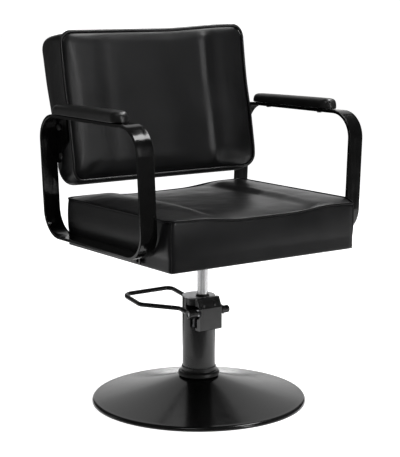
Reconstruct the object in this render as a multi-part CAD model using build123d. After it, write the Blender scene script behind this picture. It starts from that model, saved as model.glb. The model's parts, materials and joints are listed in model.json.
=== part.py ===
from build123d import *
import os
from math import cos, radians, sin

# Styling chair: a round base and hydraulic pump carry a swivelling seat with
# two flat-bar armrests, which hold the backrest by side brackets.
# Millimetres. +Z is up, -Y is the front of the chair, the origin is the
# centre of the base on the floor.

# ---- driving dimensions -------------------------------------------------
BASE_R = 282.5            # round base
RIM_TOP, RIM_ROUND = 11.5, 8.5      # height of the base's outer edge and its round-over
PLATE_R, PLATE_T = 272.5, 8.0
COVER_T = 2.5
SEAL_TOP = 5.0
COLUMN_R, COLUMN_WALL = 43.2, 4.0   # pump column
HEAD_BOTTOM, HEAD_TOP = 198.0, 279.5          # pump head casting
TOP_PLATE_T = 3.3
COLLAR_R = 55.4           # rubber collar at the column's foot
COLLAR_BOTTOM, COLLAR_LIP, COLLAR_TOP = 68.0, 80.0, 93.0
FLANGE_R, FLANGE_T = 74.0, 10.0
FLANGE_BOLTS = [(60 * cos(radians(a)), 60 * sin(radians(a))) for a in (45, 135, 225, 315)]

PISTON_R = 13.15
PISTON_Y = -16.8          # the piston stands off centre, towards the pedal shaft
PISTON_BOTTOM, PISTON_TOP = 100.0, 400.0
SLEEVE_R = 16.4
RUN_GAP = 0.06            # radial clearance of running fits

HOUSING_W = 70.0          # pedal shaft housing on the front of the head
HOUSING_WALL = 3.0
HOUSING_FRONT = -54.5
HEAD_FLAT = -33.6         # flat on the head that the housing closes
HOUSING_TOP, HOUSING_SHOULDER = 282.0, 256.0
HOUSING_SLOPE_END = -42.0  # where the sloping top meets the level top

SHAFT_Y, SHAFT_Z = -41.5, 244.5
SHAFT_R = 5.5
HUB_X, NUB_X = -56.0, 56.0          # the pedal bar's two legs on the shaft
PEDAL_TILT = 8.5          # upward slope of the pedal at rest, degrees
PEDAL_ROD_R = 5.8
# the pedal bar's bends: sideways and outward from the shaft, with the bend radii
PEDAL_ROUTE = [(HUB_X, 4), (HUB_X, 50), (-138, 114), (-138, 195),
               (14, 195), (14, 120), (NUB_X, 66), (NUB_X, 4)]
PEDAL_BENDS = [14, 14, 24, 18, 15, 15]
PLUNGER_X, PLUNGER_Y = -27.0, -17.0
PLUNGER_R = 5.0
PLUNGER_TOP = 234.7
GLAND_BOTTOM, GLAND_TOP = 204.0, 208.5

HUB_BOTTOM, HUB_TOP = 372.0, 402.0
MOUNT_PLATE_T = 5.0
PLATE_TOP = HUB_TOP + MOUNT_PLATE_T
RAIL_X, RAIL_HALF_W = 85.0, 18.0
PLATE_BOLTS = [(x, PISTON_Y + y) for x in (-RAIL_X, RAIL_X) for y in (-85, 85)]

SEAT_BOTTOM, SEAT_SEAM = 420.0, 539.0
SEAT_W = 565.0
SEAT_FRONT, SEAT_REAR = -284.0, 188.0
SEAT_CORNER_R = 14.0
RAIL_Y0, RAIL_Y1 = SEAT_FRONT + 100, SEAT_REAR - 45
BOLSTER_TOP = 563.0       # crest of the seat's side bolsters, and its distance from the side
BOLSTER_IN = 57.0
VALLEY_X, VALLEY_TOP = 172.0, 537.0
SEAT_MIDDLE = 541.0       # low crown between the valleys
FRAME_T, FRAME_H = 16.0, 60.0       # wooden seat frame
FRAME_BOARD_T = 12.0
FRAME_INSET = 7.0
FRAME_X = SEAT_W / 2 - FRAME_INSET
FRAME_Y0, FRAME_Y1 = SEAT_FRONT + FRAME_INSET, SEAT_REAR - FRAME_INSET
FRAME_Z0 = SEAT_BOTTOM + 1

ARM_W, ARM_T = 45.0, 8.0  # flat steel bar of the armrests
ARM_OUT = 337.4           # outer face at mid height
ARM_FRONT, ARM_REAR = -243.0, 229.6
ARM_LOW, ARM_TOP = 441.0, 761.6
ARM_MID = (ARM_LOW + ARM_TOP) / 2
ARM_BEND_R = 70.0
ARM_SPLAY, ARM_TOE = 2.29, 0.97     # lean outwards and wider towards the front, degrees
PAD_L, PAD_W, PAD_H = 319.0, 52.0, 29.0
PAD_Y = 8.5
PAD_SCREW_Y = (PAD_Y - 105, PAD_Y + 105)
LUG_X, LUG_T, LUG_BOTTOM = 295.6, 3.6, 423.5
LUG_SPANS = ((-165.0, -105.0), (80.0, 140.0))
LUG_BOLT_Y, LUG_BOLT_Z = (-150.0, -120.0, 95.0, 125.0), 431.0

BACK_W = 570.0
BACK_CORNER_R = 44.0
BACK_FOAM, BACK_BOARD_T = 39.0, 20.0          # thicknesses along Y behind the front face
BACK_BOTTOM, BACK_TOP = 571.0, 968.0
# front face of the backrest: (Y, Z) from below the bottom to above the top
BACK_FACE = [(152, 560), (144, 590), (140, 630), (147, 675), (161, 750),
             (176, 810), (187, 870), (201, 966), (203, 985)]
# its top, rear and underside: (Y, Z) from the top of the front face round to the bottom
BACK_ROUND = [(201, 966), (235, 959), (262, 951), (284, 942), (299, 932), (307, 919), (305, 890),
              (290, 829), (277, 767), (258, 690), (247, 640), (240, 604), (228, 586), (200, 573),
              (165, 577), (144, 590)]
BRACKET_BOLTS = [(202.0, 723.0), (197.0, 650.0)]
BRACKET_T = 4.5
BRACKET_OUTLINE = [(ARM_REAR - 2, 752), (166, 752), (166, 686), (212, 628), (ARM_REAR - 2, 628)]
BOLT_R, BOLT_HOLE_R = 4.1, 4.2      # M8 bolts of the flange, plate and brackets

os.makedirs("parts", exist_ok=True)


# ---- helpers ------------------------------------------------------------
def block(x0, x1, y0, y1, z0, z1):
    """Box between two corners."""
    return Pos((x0 + x1) / 2, (y0 + y1) / 2, (z0 + z1) / 2) * Box(x1 - x0, y1 - y0, z1 - z0)


def post(r, z0, z1, x=0.0, y=0.0):
    """Upright cylinder."""
    return Pos(x, y, (z0 + z1) / 2) * Cylinder(r, z1 - z0)


def tube(r_out, r_in, z0, z1, x=0.0, y=0.0):
    return post(r_out, z0, z1, x, y) - post(r_in, z0 - 1, z1 + 1, x, y)


def cross_bar(r, x0, x1, y, z):
    """Cylinder along X."""
    return Pos((x0 + x1) / 2, y, z) * Rot(0, 90, 0) * Cylinder(r, abs(x1 - x0))


def closed(*lines):
    """Flat face inside lines that meet end to end."""
    return make_face([edge for line in lines for edge in line.edges()])


def turned(*lines):
    """Solid of revolution about Z from a closed (radius, height) outline."""
    return revolve(Plane.XZ * closed(*lines), Axis.Z)


def prism_x(x0, x1, *lines):
    """Closed (Y, Z) outline extruded along X."""
    return Pos(x0, 0, 0) * extrude(Plane.YZ * closed(*lines), x1 - x0, dir=(1, 0, 0))


def mirrored(solid):
    return mirror(solid, about=Plane.YZ)


def save(name, *solids):
    parts = [s for item in solids for s in item.solids()]
    shape = parts[0] if len(parts) == 1 else Compound(children=parts)
    export_step(shape, f"parts/{name}.step")


# ---- base ---------------------------------------------------------------
def base_plate():
    holes = [post(BOLT_HOLE_R, -1, PLATE_T + 1, *p) for p in FLANGE_BOLTS]
    sinks = [turned_sink(*p) for p in FLANGE_BOLTS]
    return post(PLATE_R, 0, PLATE_T) - holes - sinks


def turned_sink(x, y):
    return Pos(x, y, 2.0) * Cone(8.4, 4.2, 4.0)


def base_cover():
    """Spun dish: a trumpet that rises from the rounded rim to the column."""
    t, top_r = COVER_T, BASE_R - RIM_ROUND
    lip_z = RIM_TOP - RIM_ROUND
    neck = (COLUMN_R + 3, COLLAR_BOTTOM - 0.5)
    outer = Line((BASE_R, 1), (BASE_R, lip_z))
    over = RadiusArc((BASE_R, lip_z), (top_r, RIM_TOP), -RIM_ROUND)
    rise = Spline((top_r, RIM_TOP), (200, 26), (110, 48), neck, tangents=((-1, 0.12), (-1, 0.75)))
    under = Spline((neck[0], neck[1] - t), (110, 48 - t), (200, 26 - t), (top_r, RIM_TOP - t),
                   tangents=((1, -0.75), (1, -0.12)))
    inner = RadiusArc((top_r, RIM_TOP - t), (BASE_R - t, lip_z), RIM_ROUND - t)
    foot = Polyline((BASE_R - t, lip_z), (BASE_R - t, 1), (BASE_R, 1))
    return turned(outer, over, rise, Line(rise @ 1, under @ 0), under, inner, foot)


def rim_seal():
    """Rubber edge ring between the plate and the cover's skirt."""
    r_in, r_out = PLATE_R + 0.1, BASE_R - COVER_T - 0.3
    return turned(Polyline((r_in, 0.5), (r_out - 0.6, 0.5), (r_out, 1.1), (r_out, 3), (r_out - 1, SEAL_TOP),
                           (r_in, SEAL_TOP), close=True))


def flange():
    """Foot flange of the column, bolted to the base plate."""
    holes = [post(BOLT_HOLE_R, 0, 30, *p) for p in FLANGE_BOLTS]
    return tube(FLANGE_R, COLUMN_R + 0.1, PLATE_T, PLATE_T + FLANGE_T) - holes


def flange_bolts():
    head = Pos(0, 0, 2.2) * Cone(7.9, BOLT_R, 3.8)
    bolt = post(BOLT_R, 4, PLATE_T + FLANGE_T) + head
    return [Pos(*p) * bolt for p in FLANGE_BOLTS]


def foot_collar():
    """Rubber collar that covers the joint of column and dish: a round lip and a neck."""
    r0, z0, lip = COLUMN_R + 0.15, COLLAR_BOTTOM, COLLAR_LIP
    bulge = ThreePointArc((COLLAR_R - 3, z0), (COLLAR_R, z0 + 6.5), (COLLAR_R - 4, lip))
    neck = Polyline((COLLAR_R - 4, lip), (r0 + 4, lip + 4), (r0 + 2.2, COLLAR_TOP - 1.5),
                    (r0 + 1, COLLAR_TOP), (r0, COLLAR_TOP), (r0, z0))
    return turned(Line((r0, z0), (COLLAR_R - 3, z0)), bulge, neck)


# ---- pump ---------------------------------------------------------------
def pump_column():
    return tube(COLUMN_R, COLUMN_R - COLUMN_WALL, PLATE_T, HEAD_BOTTOM)


def pump_head():
    """Casting on top of the column, with a plug that sits inside the tube."""
    body = post(COLUMN_R, HEAD_BOTTOM, HEAD_TOP) + post(COLUMN_R - COLUMN_WALL - 0.1, 150, HEAD_BOTTOM)
    body -= block(-60, 60, -60, HEAD_FLAT, HEAD_BOTTOM, HEAD_TOP + 1)
    body -= post(SLEEVE_R + 0.02, 140, HEAD_TOP + 1, 0, PISTON_Y)
    pocket = block(-60, PLUNGER_X + 7.5, -60, -7, 228, 262)
    slot = block(-60, PLUNGER_X + 7.5, -60, PLUNGER_Y, GLAND_BOTTOM, 229)
    slot &= post(12.5, GLAND_BOTTOM, 229, PLUNGER_X - 5, PLUNGER_Y - 3)
    plunger_way = post(7.5, GLAND_BOTTOM, 240, PLUNGER_X, PLUNGER_Y)
    bore = post(PLUNGER_R + RUN_GAP, 165, GLAND_BOTTOM + 1, PLUNGER_X, PLUNGER_Y)
    return body - pocket - slot - plunger_way - bore


def top_plate():
    plate = post(COLUMN_R - 0.4, HEAD_TOP, HEAD_TOP + TOP_PLATE_T)
    plate -= block(-60, 60, -60, HEAD_FLAT, HEAD_TOP - 1, HEAD_TOP + 9)
    return plate - post(PISTON_R + 1.5, HEAD_TOP - 1, HEAD_TOP + 9, 0, PISTON_Y)


def lift_cylinder():
    """Inner cylinder that guides the piston."""
    return tube(SLEEVE_R, PISTON_R + RUN_GAP, 24, HEAD_TOP, 0, PISTON_Y)


def cylinder_foot():
    return post(SLEEVE_R, PLATE_T, 24, 0, PISTON_Y)


def wiper_seal():
    """Rubber wiper where the piston leaves the head."""
    z = HEAD_TOP + TOP_PLATE_T
    ring = tube(PISTON_R + 4.6, PISTON_R + RUN_GAP, z, z + 3.2, 0, PISTON_Y)
    ring += tube(PISTON_R + 2.6, PISTON_R + RUN_GAP, z + 3.2, z + 5.6, 0, PISTON_Y)
    return ring - block(-60, 60, -60, HEAD_FLAT, z - 1, z + 9)


def lever_housing():
    """Hollow housing on the head's flat, with a sloping top and an open left end."""
    w, wall = HOUSING_W / 2, HOUSING_WALL
    floor_z, roof_z = HEAD_BOTTOM + 2 * wall, HOUSING_TOP - 14
    outline = FilletPolyline((HEAD_FLAT, HEAD_BOTTOM), (HOUSING_FRONT, HEAD_BOTTOM),
                             (HOUSING_FRONT, HOUSING_SHOULDER), (HOUSING_SLOPE_END, HOUSING_TOP),
                             (HEAD_FLAT, HOUSING_TOP), radius=1.5)
    outer = prism_x(-w, w, outline, Line(outline @ 1, outline @ 0))
    cavity = Polyline((HEAD_FLAT + 1, floor_z), (HOUSING_FRONT + wall, floor_z),
                      (HOUSING_FRONT + wall, HOUSING_SHOULDER - wall), (HOUSING_SLOPE_END - 2, roof_z),
                      (HEAD_FLAT + 1, roof_z), close=True)
    body = outer - prism_x(-w + wall, w - wall, cavity)
    left_out, left_in = -w - 1, -w + wall + 1
    body -= cross_bar(17.5, left_out, left_in, SHAFT_Y + 3, SHAFT_Z)
    body -= block(left_out, left_in, SHAFT_Y, HEAD_FLAT + 1, floor_z, SHAFT_Z + 17)
    body -= cross_bar(SHAFT_R + RUN_GAP, 0, w + 1, SHAFT_Y, SHAFT_Z)
    cheeks = [block(x, x + 5, HOUSING_FRONT + wall - 1, HEAD_FLAT, HEAD_BOTTOM + wall, HOUSING_TOP - 16)
              for x in (-22.0, 12.0)]
    bearing = [cheek - cross_bar(SHAFT_R + RUN_GAP, -w, w, SHAFT_Y, SHAFT_Z) for cheek in cheeks]
    return (body + bearing).solids().sort_by(SortBy.VOLUME)[-1:]


def plunger_gland():
    """Nut that guides and seals the plunger."""
    nut = block(PLUNGER_X - 7, PLUNGER_X + 7, PLUNGER_Y - 7, PLUNGER_Y + 7, GLAND_BOTTOM, GLAND_TOP)
    nut &= post(7.45, GLAND_BOTTOM, GLAND_TOP, PLUNGER_X, PLUNGER_Y)
    return nut - post(PLUNGER_R + RUN_GAP, GLAND_BOTTOM - 4, GLAND_TOP + 4, PLUNGER_X, PLUNGER_Y)


def plunger():
    rod = post(PLUNGER_R, 176, PLUNGER_TOP - 1, PLUNGER_X, PLUNGER_Y)
    return rod + post(6.6, PLUNGER_TOP - 3.5, PLUNGER_TOP, PLUNGER_X, PLUNGER_Y)


def plunger_spring():
    low, high, wire = GLAND_TOP + 0.2, PLUNGER_TOP - 3.7, 0.6
    coil = Helix((high - low - 2 * wire) / 4, high - low - 2 * wire, 6.0)
    section = Plane(coil @ 0, z_dir=coil % 0) * Circle(wire)
    return Pos(PLUNGER_X, PLUNGER_Y, low + wire) * sweep(section, coil)


# ---- pedal --------------------------------------------------------------
PEDAL_PLANE = Plane(origin=(0, SHAFT_Y, SHAFT_Z), x_dir=(1, 0, 0),
                    z_dir=(0, -sin(radians(PEDAL_TILT)), cos(radians(PEDAL_TILT))))


def pedal_bar():
    """Bent rod: both legs start on the shaft's ends, and pass the column on its two sides."""
    path = PEDAL_PLANE * FilletPolyline(*PEDAL_ROUTE, radius=PEDAL_BENDS)
    return sweep(Plane(path @ 0, z_dir=path % 0) * Circle(PEDAL_ROD_R), path) - pedal_shaft_bores()


def pedal_shaft_bores():
    return cross_bar(SHAFT_R + 0.02, -80, 80, SHAFT_Y, SHAFT_Z)


def pedal_shaft():
    return cross_bar(SHAFT_R, -62, 60, SHAFT_Y, SHAFT_Z)


def pedal_hub(x0, x1, r):
    """Boss on the shaft with a socket for a leg of the pedal bar."""
    boss = cross_bar(r, x0, x1, SHAFT_Y, SHAFT_Z)
    boss = chamfer(boss.edges().filter_by(GeomType.CIRCLE), 1.5)
    x = (HUB_X if x0 < 0 else NUB_X)
    socket = PEDAL_PLANE * Pos(x, 20, 0) * Rot(90, 0, 0) * Cylinder(PEDAL_ROD_R + 0.02, 40)
    screw_way = Pos(screw_x(x), SHAFT_Y, SHAFT_Z - 15) * Cylinder(2.52, 30)
    return boss - socket - screw_way - pedal_shaft_bores()


def screw_x(leg_x):
    """Set screws stand 7.5 mm inboard of the legs."""
    return leg_x + (7.5 if leg_x < 0 else -7.5)


def hub_screws():
    """Set screws that lock the two hubs to the shaft."""
    return [Pos(screw_x(x), SHAFT_Y, SHAFT_Z - SHAFT_R - 3.2) * Cylinder(2.5, 6) for x in (HUB_X, NUB_X)]


def cam_arm():
    """Short arm on the shaft that presses the plunger."""
    x0, x1, tip_r = PLUNGER_X - 4, PLUNGER_X + 4, 5.0
    tip_z = PLUNGER_TOP + 0.3 + tip_r
    root = cross_bar(9, x0, x1, SHAFT_Y, SHAFT_Z)
    tip = cross_bar(tip_r, x0, x1, PLUNGER_Y, tip_z)
    web = Polyline((SHAFT_Y, SHAFT_Z + 8.9), (SHAFT_Y, SHAFT_Z - 8.9), (PLUNGER_Y, tip_z - tip_r + 0.2),
                   (PLUNGER_Y, tip_z + tip_r), close=True)
    return root + tip + prism_x(x0, x1, web) - pedal_shaft_bores()


# ---- lift and swivel ----------------------------------------------------
def piston():
    rod = post(PISTON_R, PISTON_BOTTOM, PISTON_TOP, 0, PISTON_Y)
    return chamfer(rod.edges().filter_by(GeomType.CIRCLE), 1.5)


def thrust_washer():
    return tube(20, PISTON_R + 0.02, 366, HUB_BOTTOM - 0.3, 0, PISTON_Y)


def swivel_hub():
    r_in = PISTON_R + RUN_GAP
    sleeve = tube(23, r_in, HUB_BOTTOM, HUB_TOP, 0, PISTON_Y)
    hub = sleeve + tube(42, r_in, HUB_TOP - 6, HUB_TOP, 0, PISTON_Y)
    web = Polyline((21, HUB_BOTTOM + 5), (23, HUB_BOTTOM + 5), (40, HUB_TOP - 6),
                   (40, HUB_TOP - 5), (21, HUB_TOP - 5), close=True)
    rib = Rot(0, 0, -90) * prism_x(-2.5, 2.5, web)
    return hub + [Pos(0, PISTON_Y, 0) * Rot(0, 0, 90 * i) * rib for i in range(4)]


def mount_plate():
    plate = extrude(Pos(0, PISTON_Y, HUB_TOP) * RectangleRounded(220, 220, 16), MOUNT_PLATE_T)
    return plate - [post(BOLT_HOLE_R, HUB_TOP - 1, PLATE_TOP + 1, *p) for p in PLATE_BOLTS]


def seat_rails():
    rails = [block(x - RAIL_HALF_W, x + RAIL_HALF_W, RAIL_Y0, RAIL_Y1, PLATE_TOP, FRAME_Z0)
             for x in (-RAIL_X, RAIL_X)]
    holes = [post(BOLT_HOLE_R, PLATE_TOP - 1, SEAT_BOTTOM + 2, *p) for p in PLATE_BOLTS]
    return [r - holes for r in rails]


def plate_bolts():
    """Four bolts from under the plate, through the rails into the seat frame."""
    head_z = HUB_TOP - 5.5
    shanks = [post(BOLT_R, head_z + 5, SEAT_BOTTOM + 13, *p) for p in PLATE_BOLTS]
    heads = [extrude(Pos(p[0], p[1], head_z) * RegularPolygon(7.2, 6), 5.4) for p in PLATE_BOLTS]
    return [shank + head for shank, head in zip(shanks, heads)]


# ---- seat ---------------------------------------------------------------
def rounded_box(half_x, y0, y1, z0, z1, radius):
    """Block with round upright corners, symmetrical about the YZ plane."""
    return extrude(Pos(0, (y0 + y1) / 2, z0) * RectangleRounded(2 * half_x, y1 - y0, radius), z1 - z0)


def lug_bolt_ways(x_out, x_in):
    """Holes for the armrest bolts in both sides of the seat."""
    return [cross_bar(3.1, s * x_out, s * x_in, y, LUG_BOLT_Z) for y in LUG_BOLT_Y for s in (-1, 1)]


def seat_frame():
    """Wooden box frame with a bottom board."""
    corner = SEAT_CORNER_R - 2
    body = rounded_box(FRAME_X, FRAME_Y0, FRAME_Y1, FRAME_Z0, FRAME_Z0 + FRAME_H, corner)
    body -= block(-FRAME_X + FRAME_T, FRAME_X - FRAME_T, FRAME_Y0 + FRAME_T, FRAME_Y1 - FRAME_T,
                  FRAME_Z0 + FRAME_BOARD_T, FRAME_Z0 + FRAME_H + 1)
    body -= [post(4.15, FRAME_Z0 - 1, SEAT_BOTTOM + 14, *p) for p in PLATE_BOLTS]
    return body - lug_bolt_ways(FRAME_X + 1, FRAME_X - 26)


def seat_cushion():
    """Foam and cover: side bolsters, a valley beside each and a low crown between them."""
    w, below, beyond = SEAT_W / 2, SEAT_BOTTOM - 20, 15
    across = [(w + 2, SEAT_SEAM - 4), (w - 18, BOLSTER_TOP - 8), (w - BOLSTER_IN, BOLSTER_TOP),
              (VALLEY_X, VALLEY_TOP), (VALLEY_X / 2, SEAT_MIDDLE - 1)]
    top = Spline(*[(-x, z) for x, z in across], (0, SEAT_MIDDLE), *reversed(across))
    under = Polyline(across[0], (w + 2, below), (-w - 2, below), (-across[0][0], across[0][1]))
    length = SEAT_REAR - SEAT_FRONT + 2 * beyond
    body = extrude(Plane.XZ * closed(top, under), length, dir=(0, -1, 0))
    body = Pos(0, SEAT_REAR + beyond, 0) * body
    y0, y1 = SEAT_FRONT - 1, SEAT_REAR + 1
    lengthwise = Polyline((y0, below), (y0, SEAT_SEAM - 5), (SEAT_FRONT + 14, BOLSTER_TOP - 9),
                          (SEAT_FRONT + 45, BOLSTER_TOP + 2), (SEAT_REAR - 70, BOLSTER_TOP + 2),
                          (SEAT_REAR - 20, BOLSTER_TOP - 12), (y1, SEAT_SEAM - 1), (y1, below), close=True)
    body &= prism_x(-w - beyond, w + beyond, lengthwise)
    body &= rounded_box(w, SEAT_FRONT, SEAT_REAR, SEAT_BOTTOM, BOLSTER_TOP + 10, SEAT_CORNER_R)
    gap = 0.3
    well = rounded_box(FRAME_X + gap, FRAME_Y0 - gap, FRAME_Y1 + gap, below,
                       FRAME_Z0 + FRAME_H + gap, SEAT_CORNER_R - 2 + gap)
    return body - well - lug_bolt_ways(w + 1, w - 9)


# ---- armrests -----------------------------------------------------------
def arm_local(solid):
    """Lean a piece drawn for the upright right-hand armrest, about its outer face at mid height."""
    lean = Pos(ARM_OUT, 0, ARM_MID) * Rot(0, 0, ARM_TOE) * Rot(0, ARM_SPLAY, 0)
    return lean * Pos(-ARM_OUT, 0, -ARM_MID) * solid


def arm_shift(y, z):
    """How far the lean moves the armrest outwards at a place on it."""
    return sin(radians(ARM_SPLAY)) * (z - ARM_MID) - sin(radians(ARM_TOE)) * y


def armrest():
    """Closed loop of flat bar."""
    def loop(inset, x0, x1):
        length, height = ARM_REAR - ARM_FRONT - 2 * inset, ARM_TOP - ARM_LOW - 2 * inset
        middle = Pos((ARM_FRONT + ARM_REAR) / 2, ARM_MID)
        shape = Plane.YZ * middle * RectangleRounded(length, height, ARM_BEND_R - inset)
        return Pos(x0, 0, 0) * extrude(shape, x1 - x0, dir=(1, 0, 0))
    inner = ARM_OUT - ARM_W
    bar = loop(0, inner, ARM_OUT) - loop(ARM_T, inner - 1, ARM_OUT + 1)
    rims = bar.edges().filter_by_position(Axis.X, inner, inner)
    rims += bar.edges().filter_by_position(Axis.X, ARM_OUT, ARM_OUT)
    bar = fillet(rims, 1.5)
    holes = [post(3.1, ARM_TOP - 20, ARM_TOP + 5, ARM_OUT - ARM_W / 2, y) for y in PAD_SCREW_Y]
    return arm_local(bar - holes)


def arm_pad():
    """Moulded pad with round ends and a crowned top."""
    x = ARM_OUT - ARM_W / 2
    outline = Plane.XY * Pos(x, PAD_Y, ARM_TOP) * Rot(0, 0, 90) * SlotOverall(PAD_L, PAD_W)
    pad = extrude(outline, PAD_H)
    pad = fillet(pad.edges().group_by(Axis.Z)[-1], 13)
    pad = fillet(pad.edges().group_by(Axis.Z)[0], 3)
    return arm_local(pad - [post(3.05, ARM_TOP - 1, ARM_TOP + 12, x, y) for y in PAD_SCREW_Y])


def pad_screws():
    x = ARM_OUT - ARM_W / 2
    screws = [post(3.0, ARM_TOP - ARM_T - 1, ARM_TOP + 11, x, y) for y in PAD_SCREW_Y]
    heads = [post(6.0, ARM_TOP - ARM_T - 3.6, ARM_TOP - ARM_T - 0.02, x, y) for y in PAD_SCREW_Y]
    return [arm_local(s + h) for s, h in zip(screws, heads)]


def arm_lugs():
    """Two tabs welded under the lower rail, which bolt to the side of the seat frame."""
    lugs = [arm_local(block(LUG_X - LUG_T, LUG_X, y0, y1, LUG_BOTTOM, ARM_LOW - 0.02))
            for y0, y1 in LUG_SPANS]
    holes = [cross_bar(3.2, 270, 300, y, LUG_BOLT_Z) for y in LUG_BOLT_Y]
    return [lug - holes for lug in lugs]


def lug_bolts():
    bolts = []
    for y in LUG_BOLT_Y:
        x = LUG_X + arm_shift(y, LUG_BOLT_Z) + 0.5
        head = cross_bar(5.2, x, x + 3, y, LUG_BOLT_Z)
        bolts.append(cross_bar(3.0, FRAME_X - 22, x + 1, y, LUG_BOLT_Z) + head)
    return bolts


# ---- backrest -----------------------------------------------------------
def back_body(inset):
    """Whole backrest: a side outline extruded across, with round corners seen from the front."""
    face = Spline(*BACK_FACE[1:-1])
    rest = Spline(*BACK_ROUND, tangents=((1, -0.15), (-1, 1.2)))
    outline = prism_x(-BACK_W / 2, BACK_W / 2, face, rest)
    z0, z1 = BACK_BOTTOM + inset, BACK_TOP - inset
    shape = Plane.XZ * Pos(0, (z0 + z1) / 2) * RectangleRounded(BACK_W - 2 * inset, z1 - z0, BACK_CORNER_R)
    return outline & (Pos(0, 500, 0) * extrude(shape, 500, dir=(0, -1, 0)))


def back_layer(near, far, inset=0.0):
    """Part of the backrest between two distances behind its front face."""
    front = Spline(*[(y + near, z) for y, z in BACK_FACE])
    rear = Spline(*[(y + far, z) for y, z in reversed(BACK_FACE)])
    reach = BACK_W / 2 + 20
    layer = prism_x(-reach, reach, front, Line(front @ 1, rear @ 0), rear, Line(rear @ 1, front @ 0))
    return back_body(inset) & layer


def back_cushion():
    return back_layer(-20, BACK_FOAM)


def back_board():
    """Curved plywood board that the brackets are bolted to."""
    board = back_layer(BACK_FOAM + 0.6, BACK_FOAM + BACK_BOARD_T - 0.6, 1.5)
    x_out, x_in = BACK_W / 2 + 1, BACK_W / 2 - 46
    return board - [cross_bar(BOLT_R + 0.05, s * x_out, s * x_in, y, z)
                    for y, z in BRACKET_BOLTS for s in (-1, 1)]


def back_panel():
    """Padded rear panel."""
    return back_layer(BACK_FOAM + BACK_BOARD_T, 2 * BACK_W)


def back_bracket():
    """Plate welded to the rear upright's inner edge; the backrest hangs between the two."""
    x1 = ARM_OUT - ARM_W
    outline = FilletPolyline(*BRACKET_OUTLINE, radius=6)
    plate = arm_local(prism_x(x1 - BRACKET_T, x1, outline, Line(outline @ 1, outline @ 0)))
    return plate - [cross_bar(4.3, 270, 310, y, z) for y, z in BRACKET_BOLTS]


def bracket_bolts():
    bolts = []
    for y, z in BRACKET_BOLTS:
        x = ARM_OUT - ARM_W + arm_shift(y, z) + 0.5
        head = cross_bar(8.0, x, x + 5, y, z)
        head = fillet(head.edges().filter_by(GeomType.CIRCLE).sort_by(Axis.X)[-1], 2.5)
        bolts.append(cross_bar(BOLT_R, BACK_W / 2 - 44, x + 1, y, z) + head)
    return bolts


# ---- write every piece ---------------------------------------------------
save("base_plate", base_plate())
save("base_cover", base_cover())
save("rim_seal", rim_seal())
save("column_flange", flange())
save("flange_bolts", *flange_bolts())
save("foot_collar", foot_collar())
save("pump_column", pump_column())
save("pump_head", pump_head())
save("top_plate", top_plate())
save("lift_cylinder", lift_cylinder())
save("cylinder_foot", cylinder_foot())
save("wiper_seal", wiper_seal())
save("lever_housing", *lever_housing())
save("plunger_gland", plunger_gland())
save("plunger", plunger())
save("plunger_spring", plunger_spring())
save("pedal_bar", pedal_bar())
save("pedal_shaft", pedal_shaft())
save("pedal_hub_left", pedal_hub(-64, -40, 12))
save("pedal_hub_right", pedal_hub(38, 64, 10))
save("hub_screws", *hub_screws())
save("cam_arm", cam_arm())
save("piston", piston())
save("thrust_washer", thrust_washer())
save("swivel_hub", swivel_hub())
save("mount_plate", mount_plate())
save("seat_rails", *seat_rails())
save("plate_bolts", *plate_bolts())
save("seat_frame", seat_frame())
save("seat_cushion", seat_cushion())
save("back_cushion", back_cushion())
save("back_board", back_board())
save("back_panel", back_panel())
for side, place in (("right", lambda s: s), ("left", mirrored)):
    save(f"armrest_{side}", place(armrest()))
    save(f"arm_pad_{side}", place(arm_pad()))
    save(f"pad_screws_{side}", *[place(s) for s in pad_screws()])
    save(f"arm_lugs_{side}", *[place(s) for s in arm_lugs()])
    save(f"lug_bolts_{side}", *[place(s) for s in lug_bolts()])
    save(f"back_bracket_{side}", place(back_bracket()))
    save(f"bracket_bolts_{side}", *[place(s) for s in bracket_bolts()])
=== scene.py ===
from math import cos, hypot, pi, radians, sin

import bpy
import numpy as np
from mathutils import Matrix, Vector, noise
from mathutils.bvhtree import BVHTree
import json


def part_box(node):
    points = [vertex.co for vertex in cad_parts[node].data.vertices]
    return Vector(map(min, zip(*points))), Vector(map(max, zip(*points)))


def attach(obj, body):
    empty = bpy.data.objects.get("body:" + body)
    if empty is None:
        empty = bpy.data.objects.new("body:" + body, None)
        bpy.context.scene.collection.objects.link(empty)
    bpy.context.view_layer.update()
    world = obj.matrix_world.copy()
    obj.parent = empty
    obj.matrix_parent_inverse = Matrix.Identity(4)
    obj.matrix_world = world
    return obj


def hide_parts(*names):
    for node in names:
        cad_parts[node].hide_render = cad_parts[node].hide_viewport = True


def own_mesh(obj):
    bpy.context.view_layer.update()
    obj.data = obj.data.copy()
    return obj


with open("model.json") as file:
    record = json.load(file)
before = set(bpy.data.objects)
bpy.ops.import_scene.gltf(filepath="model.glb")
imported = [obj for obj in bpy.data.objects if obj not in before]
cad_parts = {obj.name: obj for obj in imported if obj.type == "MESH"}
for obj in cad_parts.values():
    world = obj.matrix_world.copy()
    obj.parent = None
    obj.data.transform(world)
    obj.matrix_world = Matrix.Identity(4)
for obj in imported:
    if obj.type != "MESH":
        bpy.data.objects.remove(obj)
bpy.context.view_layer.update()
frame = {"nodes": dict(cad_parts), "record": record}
SCENE = bpy.context.scene
NODES = frame["nodes"]
MM = 0.001
UP = Vector((0, 0, 1))

# ---- camera --------------------------------------------------------------
CAMERA_AT = (-2.0268, -2.8261, 1.0672)
CAMERA_TARGET = (0.0027, -0.0019, 0.4584)
LENS_MM = 106.94
TO_CAMERA = Vector((CAMERA_AT[0], CAMERA_AT[1], 0)).normalized()
ACROSS = TO_CAMERA.cross(UP)


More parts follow.
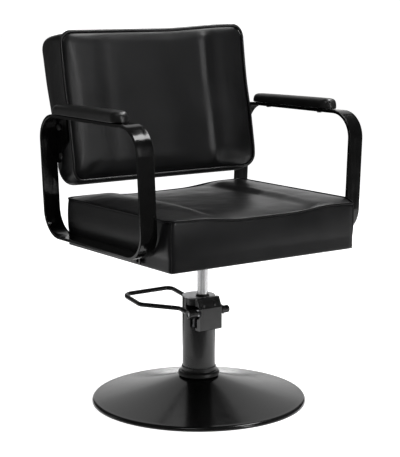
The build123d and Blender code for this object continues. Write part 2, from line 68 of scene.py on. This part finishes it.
def add_camera():
    data = bpy.data.cameras.new("camera")
    data.lens = LENS_MM
    data.clip_end = 400
    camera = bpy.data.objects.new("camera", data)
    SCENE.collection.objects.link(camera)
    camera.location = CAMERA_AT
    camera.rotation_euler = (Vector(CAMERA_TARGET) - Vector(CAMERA_AT)).to_track_quat("-Z", "Y").to_euler()
    SCENE.camera = camera


# ---- materials -----------------------------------------------------------
class Paint:
    """A Principled material and short ways to add texture to it."""

    def __init__(self, name, color, roughness, **constants):
        self.material = bpy.data.materials.new(name)
        self.material.use_nodes = True
        self.tree = self.material.node_tree
        self.shader = self.tree.nodes["Principled BSDF"]
        self.shader.inputs["Base Color"].default_value = (*color, 1)
        self.shader.inputs["Roughness"].default_value = roughness
        for socket, value in constants.items():
            self.shader.inputs[socket.replace("_", " ")].default_value = value
        self.place = self.node("ShaderNodeTexCoord").outputs["Object"]
        self.normal = None

    def node(self, kind, **values):
        made = self.tree.nodes.new(kind)
        for key, value in values.items():
            if hasattr(made, key):
                setattr(made, key, value)
            else:
                made.inputs[key.replace("_", " ")].default_value = value
        return made

    def link(self, output, target):
        self.tree.links.new(output, target)

    def stretched(self, stretch):
        """Texture place, scaled apart along X, Y and Z."""
        scaled = self.node("ShaderNodeVectorMath", operation="MULTIPLY")
        self.link(self.place, scaled.inputs[0])
        scaled.inputs[1].default_value = stretch
        return scaled.outputs[0]

    def noise(self, scale, detail=3, stretch=(1, 1, 1)):
        made = self.node("ShaderNodeTexNoise", Scale=scale, Detail=detail)
        self.link(self.stretched(stretch), made.inputs["Vector"])
        return made.outputs["Fac"]

    def cells(self, scale):
        made = self.node("ShaderNodeTexVoronoi", Scale=scale)
        self.link(self.stretched((1, 1, 1)), made.inputs["Vector"])
        return made.outputs["Distance"]

    def ranged(self, value, low, high, to_low, to_high):
        made = self.node("ShaderNodeMapRange", From_Min=low, From_Max=high, To_Min=to_low, To_Max=to_high)
        self.link(value, made.inputs["Value"])
        return made.outputs["Result"]

    def rough(self, value, low, high):
        """Roughness from low to high as a texture value goes from 0.3 to 0.7."""
        self.link(self.ranged(value, 0.3, 0.7, low, high), self.shader.inputs["Roughness"])
        return self

    def tint(self, value, first, second, low=0.3, high=0.7):
        """Colour from first to second as a texture value goes from low to high."""
        mix = self.node("ShaderNodeMix", data_type="RGBA")
        self.link(self.ranged(value, low, high, 0, 1), mix.inputs["Factor"])
        for socket, color in zip([s for s in mix.inputs if s.type == "RGBA"], (first, second)):
            socket.default_value = (*color, 1)
        self.link([s for s in mix.outputs if s.type == "RGBA"][0], self.shader.inputs["Base Color"])
        return self

    def bump(self, value, depth, strength=1.0):
        """Relief of that depth in metres, on top of what is there already."""
        made = self.node("ShaderNodeBump", Strength=strength, Distance=depth)
        self.link(value, made.inputs["Height"])
        if self.normal:
            self.link(self.normal, made.inputs["Normal"])
        self.normal = made.outputs["Normal"]
        self.link(self.normal, self.shader.inputs["Normal"])
        return self


def leather(name, specular=0.28):
    """Black artificial leather: pebble grain, fine pores and slow unevenness of the foam under it."""
    paint = Paint(name, (0.0045, 0.0045, 0.0048), 0.33, Specular_IOR_Level=specular)
    paint.tint(paint.noise(14, 4), (0.0035, 0.0035, 0.0038), (0.0058, 0.0058, 0.0062))
    paint.rough(paint.noise(9, 5), 0.28, 0.38)
    paint.bump(paint.noise(7, 2), 0.0012, 0.5)
    paint.bump(paint.cells(620), 0.00014, 0.5)
    paint.bump(paint.noise(1900, 2), 0.00005, 0.4)
    return paint.material


def gloss_black(name, low, high, color=0.003, wave=0.0, specular=0.4):
    """Stove enamel on steel: a faint orange peel, fine dust and, on bent bars, waves along their length."""
    paint = Paint(name, (color,) * 3, low, Specular_IOR_Level=specular)
    paint.tint(paint.noise(60, 4), (color * 0.7,) * 3, (color * 1.4,) * 3)
    paint.rough(paint.noise(35, 5), low, high)
    if wave:
        paint.bump(paint.noise(62, 1, (1, 0.12, 0.12)), wave, 0.8)
    paint.bump(paint.noise(190, 2), 0.0001, 0.35)
    return paint.material


def satin_black(name, color=0.012, low=0.28, high=0.4):
    """Powder coat with fine texture."""
    paint = Paint(name, (color,) * 3, low, Specular_IOR_Level=0.4)
    paint.tint(paint.noise(45, 5), (color * 0.75,) * 3, (color * 1.3,) * 3)
    paint.rough(paint.noise(28, 5), low, high)
    paint.bump(paint.noise(900, 3), 0.00006, 0.5)
    return paint.material


def rubber(name):
    paint = Paint(name, (0.008,) * 3, 0.4, Specular_IOR_Level=0.4)
    paint.tint(paint.noise(70, 5), (0.006,) * 3, (0.011, 0.011, 0.0105))
    paint.rough(paint.noise(50, 4), 0.26, 0.42)
    paint.bump(paint.noise(700, 3), 0.00008, 0.6)
    return paint.material


def steel(name, color, low, high, stretch=(1, 1, 1), grain=400, metallic=1.0):
    """Bare metal with machining marks that run square to the stretched direction."""
    paint = Paint(name, color, low, Metallic=metallic)
    paint.tint(paint.noise(grain / 8, 4, stretch), tuple(c * 0.82 for c in color), color)
    paint.rough(paint.noise(grain / 4, 5, stretch), low, high)
    paint.bump(paint.noise(grain, 3, stretch), 0.00003, 0.4)
    return paint.material


def wood(name):
    paint = Paint(name, (0.5, 0.36, 0.21), 0.6)
    paint.tint(paint.noise(30, 6, (1, 9, 9)), (0.4, 0.27, 0.14), (0.58, 0.43, 0.27))
    paint.rough(paint.noise(60, 4, (1, 9, 9)), 0.5, 0.75)
    paint.bump(paint.noise(220, 4, (1, 9, 9)), 0.0003, 0.5)
    return paint.material


LEATHER = leather("leather_black")
PIPING = leather("leather_piping", 0.45)
SEAT_PIPING = leather("leather_seat_piping", 0.1)
ARM_PAINT = gloss_black("arm_paint", 0.1, 0.16, 0.0016, 0.0005, 0.34)
BASE_PAINT = gloss_black("base_paint", 0.13, 0.19, 0.005, 0, 0.3)
PUMP_PAINT = gloss_black("pump_paint", 0.19, 0.28, 0.006, 0, 0.5)
PEDAL_PAINT = satin_black("pedal_paint", 0.006, 0.22, 0.34)
FRAME_PAINT = satin_black("frame_paint", 0.01, 0.4, 0.55)
PAD_SKIN = satin_black("pad_skin", 0.007, 0.3, 0.42)
BOLT_BLACK = satin_black("bolt_black", 0.015, 0.22, 0.32)
RUBBER = rubber("rubber_black")
PISTON_STEEL = steel("piston_steel", (0.78, 0.78, 0.79), 0.2, 0.34, (1, 1, 0.03), 900, 0.55)
MACHINED = steel("machined_steel", (0.42, 0.42, 0.43), 0.28, 0.42)
ZINC = steel("zinc_steel", (0.35, 0.35, 0.35), 0.3, 0.45)
CAST = satin_black("base_underside", 0.03, 0.55, 0.75)
PLYWOOD = wood("plywood")
SLOT_MATERIALS = {
    "base_paint": BASE_PAINT, "base_underside": CAST, "rubber_black": RUBBER, "zinc_steel": ZINC,
    "pump_paint": PUMP_PAINT, "machined_steel": MACHINED, "pedal_paint": PEDAL_PAINT,
    "piston_chrome": PISTON_STEEL, "frame_paint": FRAME_PAINT, "plywood": PLYWOOD, "leather_black": LEATHER,
    "board_wrap": LEATHER, "arm_paint": ARM_PAINT, "pad_black": PAD_SKIN, "bolt_black": BOLT_BLACK,
}


def paint_cad_nodes():
    for part in frame["record"]["subparts"]:
        materials = NODES[part["node"]].data.materials
        materials.clear()
        materials.append(SLOT_MATERIALS[part["material_slot"]])


# ---- mesh helpers --------------------------------------------------------
def smooth(value, start, end):
    """0 before start, 1 after end, and smooth between them."""
    share = np.clip((value - start) / (end - start), 0, 1)
    return share * share * (3 - 2 * share)


def new_piece(name, points, faces, material):
    mesh = bpy.data.meshes.new(name)
    mesh.from_pydata([tuple(p) for p in points], [], faces)
    mesh.polygons.foreach_set("use_smooth", [True] * len(mesh.polygons))
    mesh.materials.append(material)
    piece = bpy.data.objects.new(name, mesh)
    SCENE.collection.objects.link(piece)
    return piece


def settle(piece, body, slot, *nodes):
    """Ride on a body and stand for CAD nodes; the slot is not used."""
    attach(piece, body)
    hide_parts(*nodes)
    return piece


def box_grid(nx, ny, nz):
    """Surface of the cube from -1 to 1, cut into quads: (points, faces)."""
    index, points, faces = {}, [], []

    def corner(i, j, k):
        if (i, j, k) not in index:
            index[(i, j, k)] = len(points)
            points.append((2 * i / nx - 1, 2 * j / ny - 1, 2 * k / nz - 1))
        return index[(i, j, k)]

    def quad(a, b, c, d, outward):
        face = [corner(*a), corner(*b), corner(*c), corner(*d)]
        faces.append(face if outward else face[::-1])

    for i in range(nx):
        for j in range(ny):
            for k in (0, nz):
                quad((i, j, k), (i + 1, j, k), (i + 1, j + 1, k), (i, j + 1, k), k > 0)
    for i in range(nx):
        for k in range(nz):
            for j in (0, ny):
                quad((i, j, k), (i + 1, j, k), (i + 1, j, k + 1), (i, j, k + 1), j == 0)
    for j in range(ny):
        for k in range(nz):
            for i in (0, nx):
                quad((i, j, k), (i, j + 1, k), (i, j + 1, k + 1), (i, j, k + 1), i > 0)
    return np.array(points), faces


def round_corners(a, b, half_a, half_b, radius):
    """Moves points of a rectangle into the same rectangle with round corners."""
    da = np.sign(a) * np.maximum(np.abs(a) - (half_a - radius), 0)
    db = np.sign(b) * np.maximum(np.abs(b) - (half_b - radius), 0)
    length = np.maximum(np.hypot(da, db), 1e-9)
    share = np.where((da != 0) & (db != 0), np.maximum(np.abs(da), np.abs(db)) / length, 1)
    return a - da + da * share, b - db + db * share


def round_ring(half_a, half_b, radius, step=0.006):
    """Closed row of points round a rectangle with round corners."""
    row = []
    corners = ((1, 1, 0), (-1, 1, 90), (-1, -1, 180), (1, -1, 270))
    for sa, sb, start in corners:
        ca, cb = sa * (half_a - radius), sb * (half_b - radius)
        count = max(4, round(radius * pi / 2 / step))
        turn = [radians(start + 90 * i / count) for i in range(count + 1)]
        arc = [(ca + radius * cos(t), cb + radius * sin(t)) for t in turn]
        if row:
            row += between(row[-1], arc[0], step)
        row += arc
    return row + between(row[-1], row[0], step)


def between(a, b, step):
    """Points strictly between a and b."""
    count = max(1, round(hypot(b[0] - a[0], b[1] - a[1]) / step))
    return [(a[0] + (b[0] - a[0]) * i / count, a[1] + (b[1] - a[1]) * i / count) for i in range(1, count)]


def ring_faces(rings, sides, closed=True):
    """Quads that join each ring of points to the next, and the last to the first when closed."""
    faces = []
    for i in range(rings if closed else rings - 1):
        here, there = i * sides, (i + 1) % rings * sides
        for k in range(sides):
            after = (k + 1) % sides
            faces.append((here + k, there + k, there + after, here + after))
    return faces


def capped(rings, sides):
    """Faces of a tube of rings with both ends closed."""
    first, last = tuple(range(sides)), tuple(range((rings - 1) * sides, rings * sides))
    return ring_faces(rings, sides, closed=False) + [first, last[::-1]]


def cord_along(name, path, axis, radius, material, sides=10):
    """Round cord on a closed path that stays roughly square to axis."""
    points, count = [], len(path)
    for i, place in enumerate(path):
        along = (Vector(path[(i + 1) % count]) - Vector(path[i - 1])).normalized()
        across = axis.cross(along).normalized()
        up = along.cross(across)
        for s in range(sides):
            turn = 2 * pi * s / sides
            points.append(Vector(place) + radius * (cos(turn) * across + sin(turn) * up))
    return new_piece(name, points, ring_faces(count, sides), material)


def open_cord(name, rows, radius, material, sides=8):
    """Thin upright round cord through a row of points, closed at both ends."""
    points = [(x + radius * cos(2 * pi * k / sides), y + radius * sin(2 * pi * k / sides), z)
              for x, y, z in rows for k in range(sides)]
    return new_piece(name, points, [face[::-1] for face in capped(len(rows), sides)], material)


def lathe(name, outline, material, turns=192):
    """Turned piece from (radius, height) points in millimetres."""
    points = []
    for i in range(turns):
        angle = 2 * pi * i / turns
        points += [(r * MM * cos(angle), r * MM * sin(angle), z * MM) for r, z in outline]
    return new_piece(name, points, ring_faces(turns, len(outline)), material)


def arc(r, z, radius, start, end, count=8):
    """Points of an arc in a lathe outline, in degrees from +r towards +z."""
    angles = [radians(start + (end - start) * i / count) for i in range(count + 1)]
    return [(r + radius * cos(a), z + radius * sin(a)) for a in angles]


def puff(piece, held, pressure, cap, frames=20):
    """Blows the cover up by cloth simulation. Held is 1 where it is sewn down. Cap limits the movement."""
    mesh = piece.data
    rest = np.array([v.co for v in mesh.vertices])
    group = piece.vertex_groups.new(name="sewn")
    for i, weight in enumerate(held):
        group.add([i], float(weight), "REPLACE")
    cloth = piece.modifiers.new("cloth", "CLOTH")
    cloth.point_cache.frame_start, cloth.point_cache.frame_end = 1, frames
    wind = cloth.settings
    wind.quality, wind.mass, wind.air_damping = 6, 0.25, 2
    wind.tension_stiffness = wind.compression_stiffness = 18
    wind.shear_stiffness, wind.bending_stiffness = 9, 8
    wind.use_pressure, wind.uniform_pressure_force = True, pressure
    wind.vertex_group_mass = "sewn"
    wind.effector_weights.gravity = 0
    for step in range(1, frames + 1):
        SCENE.frame_set(step)
    shaped = piece.evaluated_get(bpy.context.evaluated_depsgraph_get())
    moved = np.array([v.co for v in shaped.data.vertices]) - rest
    piece.modifiers.remove(cloth)
    piece.vertex_groups.clear()
    SCENE.frame_set(1)
    length = np.maximum(np.linalg.norm(moved, axis=1), 1e-9)
    rest += moved * (cap * np.tanh(length / cap) / length)[:, None]
    mesh.vertices.foreach_set("co", rest.ravel())
    mesh.update()
    return piece


def sharpen(piece, chosen):
    """Keeps the shading apart on both sides of a sewn edge that runs through the chosen points."""
    for edge in piece.data.edges:
        edge.use_edge_sharp = bool(chosen[edge.vertices[0]] and chosen[edge.vertices[1]])


def subdivide(piece):
    modifier = piece.modifiers.new("fine", "SUBSURF")
    modifier.levels = modifier.render_levels = 1


# ---- seat ----------------------------------------------------------------
SEAT_LOW, SEAT_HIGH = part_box("seat_cushion")
SEAT_MID_Y = (SEAT_LOW.y + SEAT_HIGH.y) / 2
SEAT_HALF_X = SEAT_HIGH.x + 0.0008
SEAT_HALF_Y = (SEAT_HIGH.y - SEAT_LOW.y) / 2 + 0.0015
SEAT_UNDER = SEAT_LOW.z - 0.0015
SEAT_CORNER = 0.013
CREST_X, CREST_Z = 0.181, 0.5525          # stitched crest of each side bolster
WELL_X, MIDDLE_Z = 0.128, 0.5405          # where the level middle starts to rise
BULGE = 0.0035            # how far the sides stand out at mid height
SEAM_DEPTH = 0.0022       # the sewn edge is drawn in behind its piping
RAIL_TOP = 0.456          # below this height the cover lies flat behind the armrests' lower rails


def seam_height(x, y):
    """Height of the piping: lowest in the middle of the front and back, raised along the sides."""
    share = x / SEAT_HALF_X
    along = smooth(y + SEAT_HALF_Y, 0, 0.035)
    sag = 0.0095 * (1 - smooth(np.abs(x), 0.07, 0.21))
    return 0.5425 + 0.0025 * share * along - 0.0035 * (1 - along) * (1 + share ** 3) - sag


def seat_top(x, y):
    """Top panel: a level middle, a rise on both sides of it and bolsters that fall off gently outwards."""
    lift = 0.65 + 0.35 * smooth(y + SEAT_HALF_Y, 0.02, 0.16)
    inner = MIDDLE_Z + (CREST_Z - MIDDLE_Z) * lift * smooth(np.abs(x), WELL_X, CREST_X + 0.004)
    side = np.clip((SEAT_HALF_X - np.abs(x)) / (SEAT_HALF_X - CREST_X), 0, 1)
    front = np.clip((SEAT_HALF_Y + y) / 0.085, 0, 1)
    back = np.clip((SEAT_HALF_Y - y) / 0.075, 0, 1)
    roll = ((1 - (1 - side) ** 2) * (1 - (1 - front) ** 2) * (1 - (1 - back) ** 2)) ** 0.75
    seam = seam_height(x, y)
    return seam + (inner - seam) * roll


def swell(z):
    """How far the seat's sides stand out at a height: nothing at the armrests' lower rails."""
    up = np.clip((z - 0.452) / (0.536 - 0.452), 0, 1)
    return BULGE * np.sin(pi * up) ** 0.7


def wrinkle(points, amount, stretch):
    """Small slow folds, as leather has over foam."""
    return np.array([amount * noise.noise(Vector((p[0] * stretch[0], p[1] * stretch[1], p[2] * stretch[2])))
                     for p in points])


def make_seat():
    unit, faces = box_grid(80, 68, 22)
    x, y = unit[:, 0] * SEAT_HALF_X, unit[:, 1] * SEAT_HALF_Y
    x, y = round_corners(x, y, SEAT_HALF_X, SEAT_HALF_Y, SEAT_CORNER)
    top = unit[:, 2] > 0.999
    edge = np.maximum(np.abs(unit[:, 0]), np.abs(unit[:, 1])) > 0.999
    z = SEAT_UNDER + (seam_height(x, y) - SEAT_UNDER) * (unit[:, 2] + 1) / 2
    z = np.where(top, seat_top(x, y), z)
    out = np.where(top, -SEAM_DEPTH * edge, swell(z))
    x = x + out * np.clip(x / SEAT_HALF_X, -1, 1) ** 15
    y = y + np.where(top, out, 0.4 * out) * np.clip(y / SEAT_HALF_Y, -1, 1) ** 15
    piece = new_piece("seat_cover", np.stack([x, y + SEAT_MID_Y, z], axis=1), faces, LEATHER)
    sewn = np.where(edge & top, 1.0, 0.0)
    sewn = np.maximum(sewn, 0.8 * np.exp(-((np.abs(x) - CREST_X) / 0.007) ** 2) * top)
    sewn = np.maximum(sewn, 1.0 * (z < RAIL_TOP))
    puff(piece, sewn, 2.5, 0.003)
    co = np.array([v.co for v in piece.data.vertices])
    co[:, 2] += top * (wrinkle(co, 0.0010, (5, 16, 5)) + wrinkle(co, 0.0005, (28, 40, 9)))
    piece.data.vertices.foreach_set("co", co.ravel())
    sharpen(piece, edge & top)
    subdivide(piece)
    settle(piece, "seat", "leather_black", "seat_cushion")


def make_seat_piping():
    ring = round_ring(SEAT_HALF_X - 0.0002, SEAT_HALF_Y - 0.0002, SEAT_CORNER)
    path = [(a, b + SEAT_MID_Y, float(seam_height(np.array(a), np.array(b)))) for a, b in ring]
    settle(cord_along("seat_piping", path, UP, 0.0028, SEAT_PIPING), "seat", "leather_black")


def make_corner_seams():
    """Sewn lines down the seat's four corners."""
    inset = SEAT_CORNER * (1 - cos(radians(45)))
    for i, (sx, sy) in enumerate(((1, 1), (1, -1), (-1, 1), (-1, -1))):
        a, b = sx * (SEAT_HALF_X - inset), sy * (SEAT_HALF_Y - inset)
        heights = np.linspace(SEAT_UNDER, float(seam_height(np.array(a), np.array(b))), 24)
        rows = [(a + 0.7 * sx * out, b + SEAT_MID_Y + 0.4 * sy * out, z)
                for z, out in zip(heights, swell(heights).tolist())]
        seam_line = open_cord(f"seat_corner_seam_{i}", rows, 0.0009, PIPING)
        settle(seam_line, "seat", "leather_black")


# ---- backrest ------------------------------------------------------------
BACK_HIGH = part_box("back_cushion")[1]
BACK_HALF_X = BACK_HIGH.x + 0.0015
FACE_BOTTOM, FACE_TOP = 0.590, 0.9645     # the front panel's lower and upper seams
FACE_MID = (FACE_BOTTOM + FACE_TOP) / 2
BACK_CORNER = 0.031
RIGHT_RISE = 0.0085       # the top right corner is pulled up that much further
PIPING_R = 0.0039
ROLL = 0.024              # width of the roll inside the piping
FOLDS = ((0.155, 0.0, 0.0125, 0.0038), (0.19, 0.0, 0.02, -0.0010),
         (-0.165, -0.02, 0.022, -0.0008), (0.02, -0.04, 0.05, 0.0006))


def front_profile():
    """Y of the backrest's front face at rows of heights, read from the CAD cushion."""
    mesh = NODES["back_cushion"].data
    tree = BVHTree.FromPolygons([v.co for v in mesh.vertices], [p.vertices[:] for p in mesh.polygons])
    heights = np.linspace(FACE_BOTTOM + 0.004, BACK_HIGH.z - 0.004, 60)
    faces = [tree.ray_cast(Vector((0.01, -1, z)), Vector((0, 1, 0)))[0].y for z in heights]
    return heights, np.array(faces)


PROFILE_Z, PROFILE_Y = front_profile()


def face_y(z):
    return np.interp(z, PROFILE_Z, PROFILE_Y)


def pulled_up(x, z):
    """Rise of the top right corner."""
    return RIGHT_RISE * smooth(x, 0.02, 0.24) * smooth(z, FACE_MID, FACE_TOP)


def back_shape(unit):
    """The backrest's cover: a flat front panel with a roll inside its piping, rounded behind and below."""
    half_z = (FACE_TOP - FACE_BOTTOM) / 2
    share = (unit[:, 1] + 1) / 2
    corner = BACK_CORNER * (1 - 0.3 * smooth(share, 0, 0.5))
    x, z = round_corners(unit[:, 0] * BACK_HALF_X, unit[:, 2] * half_z, BACK_HALF_X, half_z, corner)
    height = z / half_z
    up, down = np.clip(height, 0, 1) ** 1.5, np.clip(-height, 0, 1) ** 1.5
    top_drop = 0.017 * share + 0.023 * (1 - np.sqrt(1 - share ** 8))
    dip = 0.019 * np.sin(pi * np.clip(share / 0.95, 0, 1)) ** 0.8 - 0.010 * share ** 8
    z = z + FACE_MID - up * top_drop - down * dip
    depth = 0.097 + 0.022 * (z - FACE_BOTTOM) / (FACE_TOP - FACE_BOTTOM)
    narrow = 1 - 0.014 * share ** 6
    side = 0.0015 * np.sin(pi * share)
    y = face_y(np.maximum(z, FACE_BOTTOM)) + depth * share
    near_x = 1 - np.clip((1 - np.abs(unit[:, 0])) * BACK_HALF_X / ROLL, 0, 1)
    near_z = 1 - np.clip((1 - np.abs(unit[:, 2])) * half_z / ROLL, 0, 1)
    roll = np.sqrt((1 - near_x ** 2) * (1 - near_z ** 2))
    y = y + 0.002 * (share < 0.001) - 0.0065 * roll * (share < 0.001) + 0.006 * roll * (share > 0.999)
    return np.stack([x * narrow + side * np.sign(x), y, z + pulled_up(x, z)], axis=1)


def ease_marks(x, z):
    """Soft upright folds in the front panel: each is X at mid height, lean, width and height."""
    total = 0
    for at, lean, width, high in FOLDS:
        centre = at + lean * (z - FACE_MID)
        total = total + high * np.exp(-((x - centre) / width) ** 2)
    from_bottom = smooth(z, FACE_BOTTOM + 0.005, FACE_BOTTOM + 0.035)
    return total * from_bottom * (1 - smooth(z, FACE_TOP - 0.03, FACE_TOP))


def make_back():
    unit, faces = box_grid(84, 14, 56)
    piece = new_piece("back_cover", back_shape(unit), faces, LEATHER)
    edge = np.maximum(np.abs(unit[:, 0]), np.abs(unit[:, 2])) > 0.999
    front = unit[:, 1] < -0.999
    puff(piece, np.where(edge & front, 1.0, 0.15 * edge), 2.5, 0.0018)
    co = np.array([v.co for v in piece.data.vertices])
    co[:, 1] -= front * ease_marks(co[:, 0], co[:, 2])
    piece.data.vertices.foreach_set("co", co.ravel())
    subdivide(piece)
    settle(piece, "seat", "leather_black", "back_cushion", "back_board", "back_panel")


def make_back_piping():
    half_z = (FACE_TOP - FACE_BOTTOM) / 2
    path = []
    for x, up in round_ring(BACK_HALF_X + 0.0025, half_z + 0.001, BACK_CORNER):
        z = up + FACE_MID
        path.append((x, float(face_y(z)) + 0.0008, z + float(pulled_up(x, z))))
    cord = cord_along("back_piping", path, Vector((0, 1, 0)), PIPING_R, PIPING, 12)
    settle(cord, "seat", "leather_black")


# ---- arm pads ------------------------------------------------------------
ARM_SPLAY, ARM_TOE = radians(2.29), radians(0.97)
ARM_OUT, ARM_MID_Z, ARM_TOP = 0.3374, 0.6013, 0.7616
PAD_X, PAD_Y = ARM_OUT - 0.0225, 0.0085
PAD_HALF_L, PAD_HALF_W, PAD_H = 0.1585, 0.0255, 0.0285


def arm_matrix():
    """From a place beside the upright right-hand armrest to where it leans."""
    pivot = Matrix.Translation((ARM_OUT, 0, ARM_MID_Z))
    lean = Matrix.Rotation(ARM_TOE, 4, "Z") @ Matrix.Rotation(ARM_SPLAY, 4, "Y")
    return pivot @ lean @ pivot.inverted()


def pad_shape(rings=64, sides=36):
    """Moulded pad as rings along its length: flat below, crowned above, with round ends."""
    places, foot = [], 0.0045
    for i in range(1, rings):
        y = -PAD_HALF_L * cos(pi * i / rings)
        past = min(max(abs(y) - (PAD_HALF_L - PAD_HALF_W), 0) / PAD_HALF_W, 1)
        wide = PAD_HALF_W * (1 - past ** 2) ** 0.5
        high = PAD_H * (0.93 - 0.07 * y / PAD_HALF_L) * (1 - past ** 4) ** 0.5
        for k in range(sides):
            across, up = cos(2 * pi * k / sides), sin(2 * pi * k / sides)
            x = wide * abs(across) ** 0.62 * (1 if across > 0 else -1)
            z = foot + ((high - foot) * up ** 0.8 if up > 0 else -0.004 * abs(up) ** 0.5)
            places.append((x, y, z))
    return np.array(places), capped(rings - 1, sides)


def make_pads():
    for side, sign in (("right", 1), ("left", -1)):
        places, faces = pad_shape()
        placed = [arm_matrix() @ Vector((PAD_X + x, PAD_Y + y, ARM_TOP + z)) for x, y, z in places]
        placed = [(sign * p.x, p.y, p.z) for p in placed]
        piece = new_piece(f"pad_{side}", placed, faces if sign > 0 else [f[::-1] for f in faces], PAD_SKIN)
        puff(piece, (places[:, 2] < 0.006).astype(float), 3, 0.0012, 12)
        subdivide(piece)
        settle(piece, "seat", "pad_black", f"arm_pad_{side}")


# ---- base ----------------------------------------------------------------
BASE_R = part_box("base_cover")[1].x / MM
COLUMN_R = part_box("pump_column")[1].x / MM


def make_base():
    """Dish with a rounded rim, and the rubber collar with its lip and neck."""
    rim, lip = BASE_R - 8.5, 3.0
    outline = [(BASE_R - 5, 1.0), (BASE_R, 1.0)] + arc(rim, lip, 8.5, 0, 84, 10)
    outline += dish_line(rim - 2, 11.7, 0)
    outline += dish_line(rim - 2, 11.7, -2.5)[::-1]
    settle(lathe("dish", outline, BASE_PAINT, turns=256), "pump", "base_paint", "base_cover")
    r = COLUMN_R
    collar = [(r + 0.2, 93), (r + 0.2, 68), (r + 9.6, 68)]
    collar += arc(r + 8.8, 71.5, 3.4, -60, 20, 6) + arc(r + 5.4, 75.2, 5.6, 22, 88, 6)
    collar += [(r + 4.2, 81.2), (r + 3.4, 83), (r + 2.8, 86.5), (r + 2.5, 90.5)]
    collar += arc(r + 1.5, 92.0, 1.0, 0, 90, 4)
    settle(lathe("collar", collar, RUBBER), "pump", "rubber_black", "foot_collar")


def dish_line(start_r, start_z, offset):
    """The dish's upper line from the rim to the column, as a smooth curve through its heights."""
    end_r = COLUMN_R + 3
    fit = np.polyfit((start_r, 200, 110, end_r), (start_z, 26.0, 48.0, 67.5), 3)
    return [(float(r), float(np.polyval(fit, r)) + offset) for r in np.linspace(start_r, end_r, 40)]


# ---- spring --------------------------------------------------------------
def make_spring():
    """Plunger's return spring, as a fixed coil in the CAD spring's box."""
    low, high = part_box("plunger_spring")
    wire, turns, steps, sides, keep = 0.0006, 4, 96, 8, 0.655
    coil_r, middle = (high.x - low.x) / 2 - wire, (low + high) / 2
    rise = high.z - low.z - 2 * wire
    slope = rise / (2 * pi * coil_r * turns)
    points = []
    for i in range(steps + 1):
        turn = 2 * pi * turns * i / steps
        outward = Vector((cos(turn), sin(turn), 0))
        along = Vector((-sin(turn), cos(turn), slope)).normalized()
        place = Vector((middle.x, middle.y, low.z + wire + rise * i / steps)) + coil_r * outward
        lifted = outward.cross(along)
        points += [place + wire * (cos(2 * pi * k / sides) * outward + sin(2 * pi * k / sides) * lifted)
                   for k in range(sides)]
    faces = [face[::-1] for face in capped(steps + 1, sides)]
    spring = new_piece("return_spring", points, faces, ZINC)
    settle(spring, "pump", "zinc_steel", "plunger_spring")
    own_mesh(spring)


# ---- studio --------------------------------------------------------------
def add_area(name, place, target, size, size_y, radiance):
    """Soft box of even brightness, which the camera itself does not see."""
    data = bpy.data.lights.new(name, "AREA")
    data.shape, data.size, data.size_y = "RECTANGLE", size, size_y
    data.energy = pi * size * size_y * radiance
    light = bpy.data.objects.new(name, data)
    SCENE.collection.objects.link(light)
    light.location = place
    light.rotation_euler = (Vector(target) - Vector(place)).to_track_quat("-Z", "Y").to_euler()
    light.visible_camera = False


def add_studio():
    world = bpy.data.worlds.new("studio")
    SCENE.world = world
    world.use_nodes = True
    world.node_tree.nodes["Background"].inputs["Color"].default_value = (0.1, 0.1, 0.1, 1)
    add_floor_and_wall(floor_paint())
    chair = (0, 0, 0.55)
    add_area("back_low", (2.1, 2.9, 0.65), (0, 0, 0.65), 3.6, 1.3, 0.84)
    add_area("back_high", (2.1, 2.9, 2.65), chair, 3.6, 2.6, 0.6)
    add_area("front_strip", (0.9, -3.1, 1.35), chair, 0.4, 1.9, 11)
    add_area("left_back_strip", (-2.3, 2.4, 1.3), chair, 0.6, 2.0, 0.55)
    add_area("top_box", (1.5, -0.4, 3.0), chair, 2.4, 0.8, 14)
    add_area("top_left_box", (-1.4, -1.2, 2.9), chair, 0.8, 0.8, 4)
    SCENE.view_settings.view_transform = "Standard"


def add_floor_and_wall(paint):
    """Floor in three strips across the view, and a far wall. Only the middle strip shows in reflections."""
    reach, near, far = 40, 0.45, -0.55
    for name, start, end, in_gloss in (("floor_front", near, reach, False), ("floor_middle", far, near, True),
                                       ("floor_back", -reach, far, False)):
        corners = [TO_CAMERA * along + ACROSS * aside for along, aside in
                   ((start, -reach), (start, reach), (end, reach), (end, -reach))]
        floor = new_piece(name, corners, [(0, 1, 2, 3)], paint)
        floor.visible_glossy = in_gloss
    radius, height, sides = 30, 18, 96
    turns = [2 * pi * i / sides for i in range(sides)]
    points = [(radius * cos(turn), radius * sin(turn), z) for turn in turns for z in (0, height)]
    count = len(points)
    faces = [(i, i + 1, (i + 3) % count, (i + 2) % count) for i in range(0, count, 2)]
    wall = new_piece("backdrop", points, faces, paint)
    wall.visible_glossy = wall.visible_diffuse = False


def floor_paint():
    paint = Paint("floor_paint", (0.6, 0.6, 0.6), 0.9, Specular_IOR_Level=0.0)
    paint.shader.inputs["Emission Color"].default_value = (1, 1, 1, 1)
    paint.shader.inputs["Emission Strength"].default_value = 0.97
    return paint.material


add_camera()
add_studio()
paint_cad_nodes()
make_base()
make_seat()
make_seat_piping()
make_corner_seams()
make_back()
make_back_piping()
make_pads()
make_spring()
